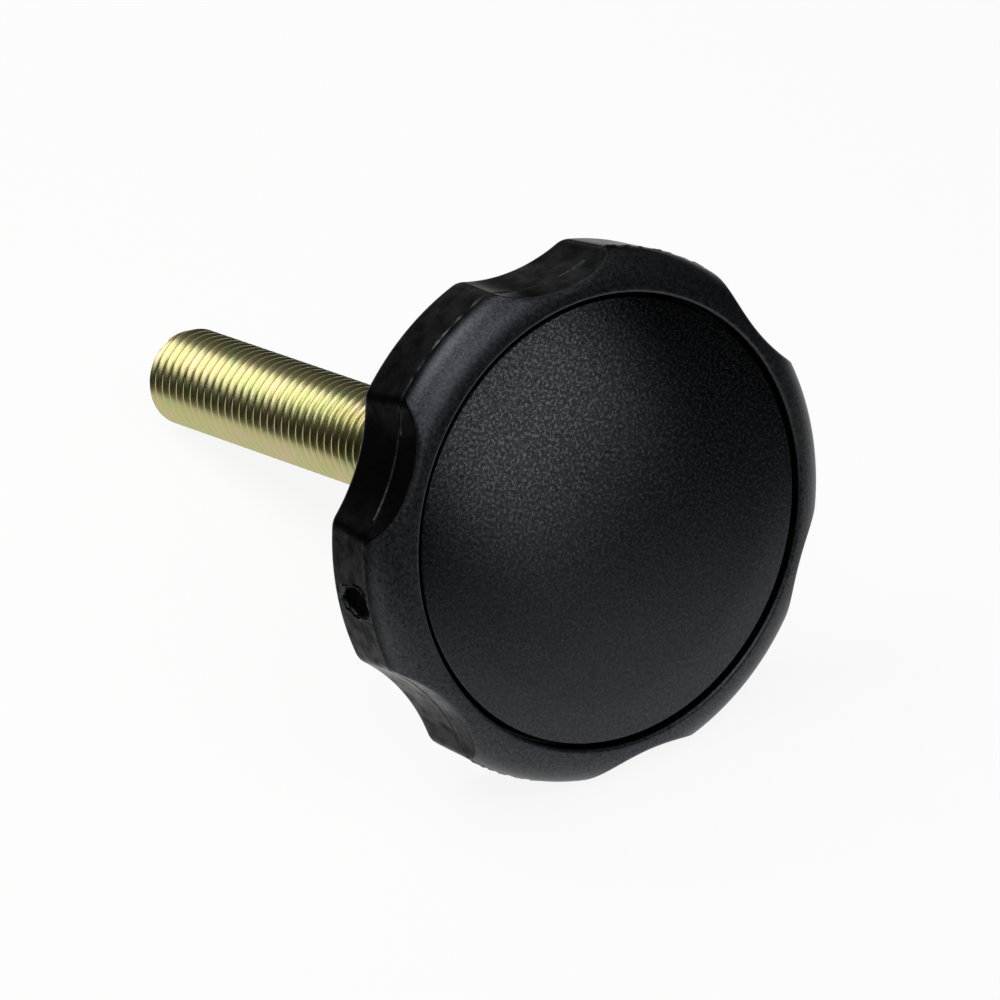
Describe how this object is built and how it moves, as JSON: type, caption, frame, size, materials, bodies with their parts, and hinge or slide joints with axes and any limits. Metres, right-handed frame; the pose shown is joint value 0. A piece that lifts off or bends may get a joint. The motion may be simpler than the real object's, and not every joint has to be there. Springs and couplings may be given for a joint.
{
  "type": "lobe knob with threaded stud",
  "caption": "Flat lobed hand knob, moulded in black plastic, with a threaded steel stud under its hub and a press-in cover cap over the bolt head.",
  "frame": {"origin": "on the knob's axis, at the seat under the hub's boss", "axes": "+Z along the axis out of the cap's face, so the stud points along -Z; +X through the middle of a finger scallop"},
  "size_m": [0.0606, 0.063, 0.0882],
  "materials": {
    "moulded_grip": "black glass-filled polyamide, fine matt texture on the shoulder and smooth gloss on the skirt",
    "plated_steel": "steel bolt, zinc plated and yellow passivated",
    "moulded_cap": "black polyamide with a coarse spark-eroded texture"
  },
  "bodies": {
    "root": {"knob_body": "moulded_grip", "stud": "plated_steel", "cover_cap": "moulded_cap"}
  },
  "joints": []
}
